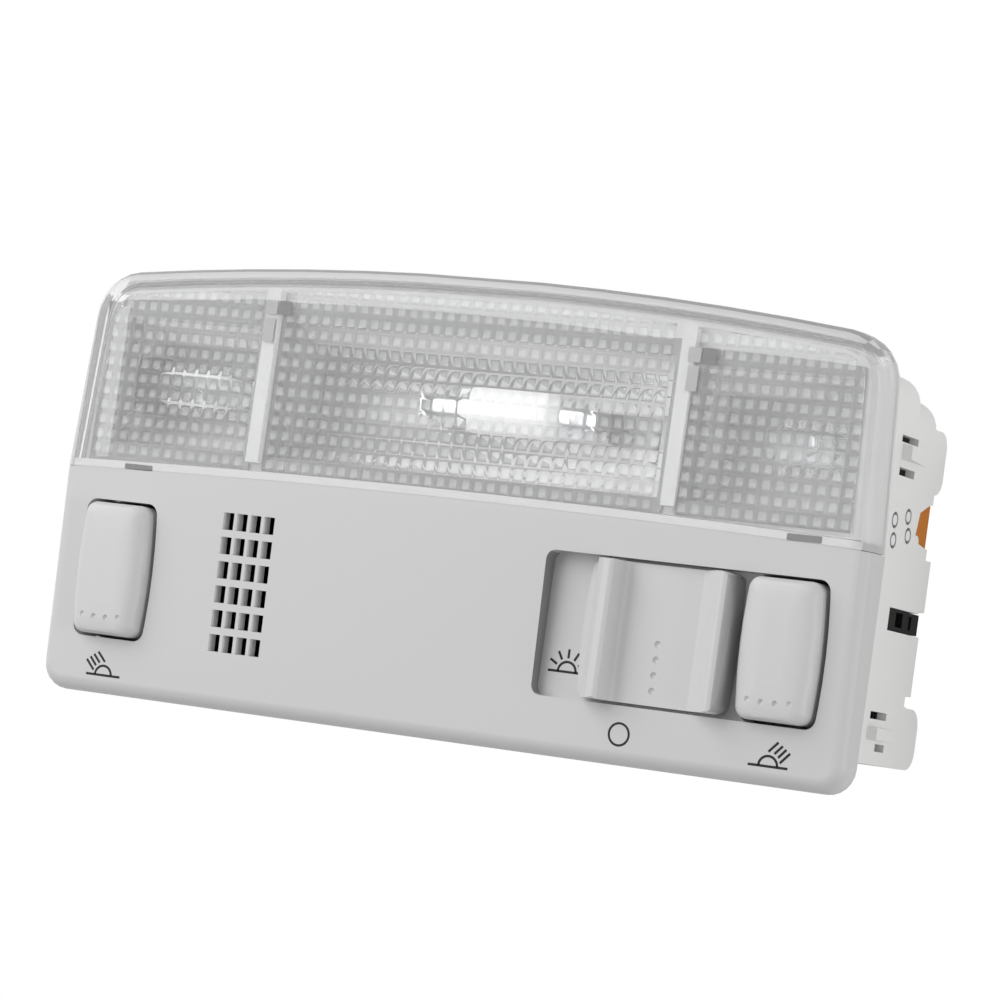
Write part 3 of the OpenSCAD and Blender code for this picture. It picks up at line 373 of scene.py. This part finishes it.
def slot_light_area(face):
    """Right-facing walls of the grille's slots, painted near white as light falling on them."""
    return face.both(face.above(face.facing["X"], TURNED), face.across(SLOT_X))


def knob_shade_area(face):
    """The slider knob's right end, down in its gap, painted darker as shade."""
    return face.both(face.above(face.facing["X"], TURNED), face.above(face.place["X"], KNOB_END_X * MM))


def ring_shade_area(face):
    """Grooves of the moulded rings in the right flank, painted dark as shade."""
    sunk = face.across([HOUSE_HALF - limit for limit in RING_DEPTHS])
    tall = face.between(face.place["Y"], [height(y) for y in RING_Y])
    return face.both(sunk, face.both(face.above(face.facing["X"], RING_TURN), tall))


# Smooth shading of the moulded forms

WELD = 0.001
SOFT_ANGLE = 34
LENS_SOFT_ANGLE = 80


def smoothing(degrees, *areas):
    """Node group that joins a form's facets, shades them smooth up to an angle and paints areas of it."""
    tree = bpy.data.node_groups.new("smooth_%d" % degrees, "GeometryNodeTree")
    tree.interface.new_socket("Geometry", in_out="INPUT", socket_type="NodeSocketGeometry")
    tree.interface.new_socket("Geometry", in_out="OUTPUT", socket_type="NodeSocketGeometry")
    weld = tree.nodes.new("GeometryNodeMergeByDistance")
    weld.inputs["Distance"].default_value = WELD * MM
    plain = tree.nodes.new("GeometryNodeRemoveAttribute")
    plain.inputs["Name"].default_value = "custom_normal"
    faces = tree.nodes.new("GeometryNodeSetShadeSmooth")
    edges = tree.nodes.new("GeometryNodeSetShadeSmooth")
    edges.domain = "EDGE"
    sharp = tree.nodes.new("GeometryNodeSetShadeSmooth")
    sharp.domain = "EDGE"
    sharp.inputs["Shade Smooth"].default_value = False
    angle = tree.nodes.new("GeometryNodeInputMeshEdgeAngle")
    steeper = tree.nodes.new("FunctionNodeCompare")
    steeper.operation = "GREATER_THAN"
    steeper.inputs[1].default_value = math.radians(degrees)
    tree.links.new(angle.outputs["Unsigned Angle"], steeper.inputs[0])
    tree.links.new(steeper.outputs["Result"], sharp.inputs["Selection"])
    chain = [tree.nodes.new("NodeGroupInput"), weld, plain, faces, edges, sharp]
    for area, paint_material in areas:
        paint = tree.nodes.new("GeometryNodeSetMaterial")
        paint.inputs["Material"].default_value = paint_material
        tree.links.new(area(FaceTest(tree)), paint.inputs["Selection"])
        chain.append(paint)
    chain.append(tree.nodes.new("NodeGroupOutput"))
    for a, b in zip(chain, chain[1:]):
        tree.links.new(a.outputs["Geometry"], b.inputs["Geometry"])
    return tree


def shade_smooth(nodes, degrees, *areas):
    group = smoothing(degrees, *areas)
    for node in nodes:
        NODES[node].modifiers.new("smooth", "NODES").node_group = group
        NODES[node].modifiers.new("weights", "WEIGHTED_NORMAL").keep_sharp = True


shade_smooth(("left_rocker", "right_rocker", "dome_bulb_glass", "dome_bulb_caps", "right_bulb"), SOFT_ANGLE)
shade_smooth(("left_bulb",), SOFT_ANGLE, (glint_area, GLINT))
shade_smooth(("bezel",), SOFT_ANGLE, (well_area, SHADE), (slot_light_area, SLOT_WALL_LIGHT))
shade_smooth(("slider_knob",), SOFT_ANGLE, (knob_shade_area, KNOB_END_SHADE))
shade_smooth(("rear_housing",), SOFT_ANGLE, (plate_shade_area, PLATE_SHADE), (ring_shade_area, SHADE))
shade_smooth(("left_reflector", "right_reflector"), SOFT_ANGLE, (lip_area, RIM), (brow_area, PALE))
shade_smooth(("centre_reflector",), SOFT_ANGLE, (glare_area, MIRROR_GLARE), (lip_area, RIM), (brow_area, PALE))
shade_smooth(("lens",), LENS_SOFT_ANGLE, (lens_flank_shade_area, LENS_FLANK_SHADE), (lens_edge_light_area, LENS_EDGE_LIGHT),
             (lens_outline_shade_area, LENS_OUTLINE_SHADE), (lens_facet_light_area, LENS_FACET_LIGHT))


# Thin pieces behind the lens

def add_piece(name, verts, faces, material):
    mesh = bpy.data.meshes.new(name)
    mesh.from_pydata(verts, [], faces)
    mesh.materials.append(material)
    piece = bpy.data.objects.new(name, mesh)
    bpy.context.scene.collection.objects.link(piece)
    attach(piece, "lamp")


def plate(name, outline, front, back, material):
    """Flat plate between two depths."""
    n = len(outline)
    verts = [in_face(x, y, z) for z in (front, back) for x, y in outline]
    faces = [tuple(reversed(range(n))), tuple(range(n, 2 * n))]
    for i in range(n):
        j = (i + 1) % n
        faces.append((i, j, n + j, n + i))
    add_piece(name, verts, faces, material)


def ring_plate(name, outline, hole, front, back, material):
    """Flat plate between two depths, with a hole of as many points as its outline."""
    n = len(outline)
    verts = [in_face(x, y, z) for z in (front, back) for loop in (outline, hole) for x, y in loop]
    faces = []
    for i in range(n):
        j = (i + 1) % n
        faces.append((i, n + i, n + j, j))
        faces.append((2 * n + i, 2 * n + j, 3 * n + j, 3 * n + i))
        faces.append((i, j, 2 * n + j, 2 * n + i))
        faces.append((n + i, 3 * n + i, 3 * n + j, n + j))
    add_piece(name, verts, faces, material)


RIM_FRONT = -4.0
RIM_BACK = -4.7
RIM_STEPS = 24
BAY_IN = DIVIDER_X + 1.6
WINDOW_IN = BAY_IN + 0.9
WINDOW_OUT = 85.4
WINDOW_LOW = 53.4
WINDOW_TOP = 80.8
CENTRE_WINDOW_HALF = 45.5
CENTRE_WINDOW_TOP = 83.0
# Outer corners from the lower left one round by the upper left, rise of the upper edge's bow, and the
# window's left, right, lower and upper edge
RIMS = {
    "centre_reflector_rim": (((-46.9, 51.2), (-46.9, 86.9), (46.6, 85.9), (46.6, 51.1)), 1.1,
                             (-CENTRE_WINDOW_HALF, CENTRE_WINDOW_HALF, WINDOW_LOW, CENTRE_WINDOW_TOP)),
    "left_reflector_rim": (((-90.2, 49.4), (-90.2, 84.0), (-BAY_IN, 87.2), (-BAY_IN, 50.5)), 0.3,
                           (-WINDOW_OUT, -WINDOW_IN, WINDOW_LOW, WINDOW_TOP)),
    "right_reflector_rim": (((BAY_IN, 51.1), (BAY_IN, 84.6), (86.8, 83.7), (87.6, 51.3)), 0.2,
                            (WINDOW_IN, WINDOW_OUT, WINDOW_LOW, WINDOW_TOP)),
}


def reflector_rim(name, corners, bow, window):
    """Dark flange round a reflector's window, on the front of the housing's plate."""
    (ax, ay), (bx, by), (cx, cy), (dx, dy) = corners
    left, right, low, top = window
    outer, inner = [], []
    for i in range(RIM_STEPS + 1):
        t = i / RIM_STEPS
        outer.append((bx + (cx - bx) * t, by + (cy - by) * t + 4 * bow * t * (1 - t)))
        inner.append((left + (right - left) * t, top))
    for i in range(RIM_STEPS + 1):
        t = i / RIM_STEPS
        outer.append((dx + (ax - dx) * t, dy + (ay - dy) * t))
        inner.append((right + (left - right) * t, low))
    ring_plate(name, outer, inner, RIM_FRONT, RIM_BACK, RIM)


for name, (corners, bow, window) in RIMS.items():
    reflector_rim(name, corners, bow, window)

LEDGE_DROP = 0.15
LEDGE_THICK = 0.3
LEDGE_HALF = 91.8
LEDGE_RISES = (-0.35, 1.7)
LEDGE_STEPS = 96


def seam_ledge():
    """The bezel's pale ledge under the lens foot, seen through it along the whole seam."""
    verts, faces = [], []
    for drop in (LEDGE_DROP, LEDGE_DROP + LEDGE_THICK):
        for rise in LEDGE_RISES:
            for i in range(LEDGE_STEPS + 1):
                x = LEDGE_HALF * (2 * i / LEDGE_STEPS - 1)
                verts.append(in_face(x, SEAM_Y + rise - x * x / (2 * SEAM_R), crown_z(x) - drop))
    n = LEDGE_STEPS + 1
    for i in range(LEDGE_STEPS):
        faces.append((i, i + 1, n + i + 1, n + i))
        faces.append((2 * n + i, 3 * n + i, 3 * n + i + 1, 2 * n + i + 1))
        faces.append((i, 2 * n + i, 2 * n + i + 1, i + 1))
        faces.append((n + i, n + i + 1, 3 * n + i + 1, 3 * n + i))
    faces.append((0, n, 3 * n, 2 * n))
    faces.append((n - 1, 3 * n - 1, 4 * n - 1, 2 * n - 1))
    add_piece("seam_ledge", verts, faces, LEDGE)


seam_ledge()

# The left bay's outer edge: a grey plate, partly the edge itself and partly painted shade
BAY_EDGE_CORNERS = ((-88.4, 50.3), (-88.4, 82.8), (-85.1, 83.4), (-85.1, 50.6))
BAY_EDGE_FRONT = -3.75
BAY_EDGE_BACK = -3.95
plate("left_bay_edge", BAY_EDGE_CORNERS, BAY_EDGE_FRONT, BAY_EDGE_BACK, CATCH_HALF_SHADE)

BLOCK_THICK = 0.25
BLOCK_CORNER = 0.2
CATCH_FRONT = -1.7
CATCH_X = 46.9
CATCH_HEAD_Y = (83.9, 86.9)
CATCH_STEM_Y = (78.0, 83.2)
CATCH_OUTER_X = (-3.1, -0.3)
CATCH_INNER_X = (0.1, 3.1)
CATCH_STEM_X = (-2.8, -0.4)
# Side, middle and rise of the two catches against the heights above
CATCH_PLACES = (("left", -CATCH_X, 0.0), ("right", CATCH_X + 5.3, -2.4))
SEAM_CATCH_FRONT = -0.1
LEFT_SEAM_CATCH = ((-78.6, -71.6), (48.1, 49.3))
RIGHT_SEAM_CATCH = ((76.1, 83.6), (48.1, 49.5))


def block(name, across, up, front, material):
    """Small plate with clipped corners, behind the lens."""
    x0, x1 = across
    y0, y1 = up
    c = BLOCK_CORNER
    outline = ((x0 + c, y0), (x0, y0 + c), (x0, y1 - c), (x0 + c, y1),
               (x1 - c, y1), (x1, y1 - c), (x1, y0 + c), (x1 - c, y0))
    plate(name, outline, front, front - BLOCK_THICK, material)


# The lens's catches at the heads of the dividers and in the seam, in two greys of painted shade
for side, middle, rise in CATCH_PLACES:
    for part, across, up, material in (("outer", CATCH_OUTER_X, CATCH_HEAD_Y, CATCH_HALF_SHADE),
                                       ("inner", CATCH_INNER_X, CATCH_HEAD_Y, CATCH),
                                       ("stem", CATCH_STEM_X, CATCH_STEM_Y, CATCH_HALF_SHADE)):
        block("%s_catch_%s" % (side, part), [middle + x for x in across], [y + rise for y in up],
              CATCH_FRONT, material)
block("left_seam_catch", *LEFT_SEAM_CATCH, SEAM_CATCH_FRONT, CATCH)
block("right_seam_catch", *RIGHT_SEAM_CATCH, SEAM_CATCH_FRONT, CATCH)


# Printed symbols

INK_LIFT = 0.03
INK_WIDTH = 0.5
OFF_INK_WIDTH = 0.46
LAMP_R = 2.02
LAMP_HALF_BASE = 4.25
LAMP_STEPS = 16
READING_PLACE = (77.75, 3.88)
# Start and end of the right symbol's four rays
READING_RAYS = (((79.5, 8.75), (77.6, 6.75)), ((80.5, 8.15), (78.9, 6.45)), ((81.35, 7.55), (79.75, 5.8)),
                ((82.2, 6.9), (80.25, 4.8)))
SUN_PLACE = (30.3, 17.2)
SUN_RAYS = (2.75, 4.6)
SUN_ANGLES = (30, 60, 90, 120, 150)
OFF_PLACE = (45.0, 6.17)
OFF_R = 2.2
OFF_STEPS = 40


def stroke(points, width):
    """Corner points of a flat line of a given width with square ends: left side and right side."""
    left, right = [], []
    last = len(points) - 1
    for i, (x, y) in enumerate(points):
        ax, ay = points[max(0, i - 1)]
        bx, by = points[min(last, i + 1)]
        length = math.hypot(bx - ax, by - ay)
        nx, ny = -(by - ay) / length * width / 2, (bx - ax) / length * width / 2
        left.append((x + nx, y + ny))
        right.append((x - nx, y - ny))
    return left, right


def printed(name, strokes, width, height_at):
    """Thin ink on a face: every stroke is a ribbon a few hundredths of a millimetre thick."""
    verts, faces = [], []
    for points in strokes:
        base = len(verts)
        for lift in (INK_LIFT, -INK_LIFT):
            for side in stroke(points, width):
                verts += [in_face(x, y, height_at(y) + lift) for x, y in side]
        n = len(points)
        top_l, top_r, low_l, low_r = (base + k * n for k in range(4))
        for i in range(n - 1):
            faces.append((top_l + i, top_r + i, top_r + i + 1, top_l + i + 1))
            faces.append((low_l + i, low_l + i + 1, low_r + i + 1, low_r + i))
            faces.append((top_l + i, top_l + i + 1, low_l + i + 1, low_l + i))
            faces.append((top_r + i, low_r + i, low_r + i + 1, top_r + i + 1))
        end = n - 1
        faces.append((top_l, low_l, low_r, top_r))
        faces.append((top_l + end, top_r + end, low_r + end, low_l + end))
    add_piece(name, verts, faces, PRINT)


def on_circle(centre, r, degrees):
    turn = math.radians(degrees)
    return centre[0] + r * math.cos(turn), centre[1] + r * math.sin(turn)


def arc(centre, r, end, steps):
    """Points of an arc from the right of its centre to the given angle."""
    return [on_circle(centre, r, end / steps * i) for i in range(steps + 1)]


def lamp_sign(centre):
    """The lamp symbol's base line and half circle."""
    x, y = centre
    return [[(x - LAMP_HALF_BASE, y), (x + LAMP_HALF_BASE, y)], arc(centre, LAMP_R, 180, LAMP_STEPS)]


def reading_symbol(side):
    """A lamp with four slanting rays: as drawn for the right side, mirrored for the left."""
    lines = lamp_sign(READING_PLACE) + list(READING_RAYS)
    return [[(side * x, y) for x, y in line] for line in lines]


def sun_symbol():
    """A lamp with rays all round its dome."""
    start, end = SUN_RAYS
    return lamp_sign(SUN_PLACE) + [[on_circle(SUN_PLACE, start, angle), on_circle(SUN_PLACE, end, angle)]
                                   for angle in SUN_ANGLES]


printed("left_reading_symbol", reading_symbol(-1), INK_WIDTH, face_z)
printed("right_reading_symbol", reading_symbol(1), INK_WIDTH, face_z)
printed("sun_symbol", sun_symbol(), INK_WIDTH, lambda y: RECESS_FLOOR_Z)
printed("off_symbol", [arc(OFF_PLACE, OFF_R, 360, OFF_STEPS)], OFF_INK_WIDTH, face_z)


# Studio, in metres and watts

FLOOR_HALF = 3.0
FLOOR_GREY = 0.8
SKY_STRENGTH = 0.42
WHITE = (1.0, 1.0, 1.0, 1.0)
AIM = (0.0, 0.0, FACE_Z * MM)
KEY_PLACE = (-0.6, 0.45, 0.8)
KEY_SIZE = 1.2
KEY_POWER = 10.8
FILL_PLACE = (0.95, -0.1, 0.3)
FILL_SIZE = 0.5
FILL_POWER = 2.7


def split_for_camera(tree, others, seen, output):
    """Shows one shader to camera rays and another to all other rays."""
    path = tree.nodes.new("ShaderNodeLightPath")
    mix = tree.nodes.new("ShaderNodeMixShader")
    tree.links.new(path.outputs["Is Camera Ray"], mix.inputs["Fac"])
    tree.links.new(others, mix.inputs[1])
    tree.links.new(seen, mix.inputs[2])
    tree.links.new(mix.outputs["Shader"], output)


def floor_material():
    """Pale floor that the camera sees as even white."""
    material = bpy.data.materials.new("studio_floor")
    material.use_nodes = True
    tree = material.node_tree
    tree.nodes.clear()
    out = tree.nodes.new("ShaderNodeOutputMaterial")
    pale = tree.nodes.new("ShaderNodeBsdfDiffuse")
    pale.inputs["Color"].default_value = (*grey(FLOOR_GREY), 1.0)
    white = tree.nodes.new("ShaderNodeEmission")
    white.inputs["Color"].default_value = WHITE
    white.inputs["Strength"].default_value = 1.0
    split_for_camera(tree, pale.outputs["BSDF"], white.outputs["Emission"], out.inputs["Surface"])
    return material


def add_floor():
    corners = [(sx * FLOOR_HALF, sy * FLOOR_HALF, 0) for sx, sy in ((-1, -1), (1, -1), (1, 1), (-1, 1))]
    mesh = bpy.data.meshes.new("floor")
    mesh.from_pydata(corners, [], [(0, 1, 2, 3)])
    mesh.materials.append(floor_material())
    floor = bpy.data.objects.new("floor", mesh)
    bpy.context.scene.collection.objects.link(floor)


def add_sky():
    """Soft light from all round, which the camera sees as white."""
    world = bpy.data.worlds.new("studio")
    bpy.context.scene.world = world
    world.use_nodes = True
    tree = world.node_tree
    sky = tree.nodes["Background"]
    sky.inputs["Color"].default_value = WHITE
    sky.inputs["Strength"].default_value = SKY_STRENGTH
    backdrop = tree.nodes.new("ShaderNodeBackground")
    backdrop.inputs["Color"].default_value = WHITE
    backdrop.inputs["Strength"].default_value = 1.0
    split_for_camera(tree, sky.outputs["Background"], backdrop.outputs["Background"],
                     tree.nodes["World Output"].inputs["Surface"])


def add_lamp(name, place, size, power):
    """Square area lamp that looks at the middle of the face."""
    data = bpy.data.lights.new(name, "AREA")
    data.shape = "SQUARE"
    data.size = size
    data.energy = power
    item = bpy.data.objects.new(name, data)
    bpy.context.scene.collection.objects.link(item)
    item.location = Vector(place)
    item.rotation_euler = (Vector(AIM) - item.location).to_track_quat("-Z", "Y").to_euler()


add_floor()
add_sky()
add_lamp("key", KEY_PLACE, KEY_SIZE, KEY_POWER)
add_lamp("fill", FILL_PLACE, FILL_SIZE, FILL_POWER)


# Camera: turns about the part's own Y, then its X, then the line of sight, in degrees, and its place in mm

CAMERA_TURN_Y = 27.9
CAMERA_TURN_X = 3.59
CAMERA_ROLL = 7.99
CAMERA_SHIFT = Vector((-17.8, -48.1, -813.5))
SENSOR_WIDTH = 36.0
# In pixels
PICTURE_WIDTH = 1001
PICTURE_FOCAL = 4000
# In metres
CLIP_START = 0.05
CLIP_END = 20.0


def add_camera():
    to_camera = (Matrix.Rotation(math.radians(-CAMERA_ROLL), 3, "Z")
                 @ Matrix.Rotation(math.radians(-CAMERA_TURN_X), 3, "X")
                 @ Matrix.Rotation(math.radians(-CAMERA_TURN_Y), 3, "Y"))
    data = bpy.data.cameras.new("camera")
    data.sensor_width = SENSOR_WIDTH
    data.lens = PICTURE_FOCAL / PICTURE_WIDTH * SENSOR_WIDTH
    data.clip_start = CLIP_START
    data.clip_end = CLIP_END
    camera = bpy.data.objects.new("camera", data)
    bpy.context.scene.collection.objects.link(camera)
    place = -(to_camera.transposed() @ CAMERA_SHIFT)
    camera.matrix_world = Matrix.Translation(in_face(*place)) @ to_camera.transposed().to_4x4()
    bpy.context.scene.camera = camera


add_camera()
bpy.context.scene.view_settings.view_transform = "Standard"
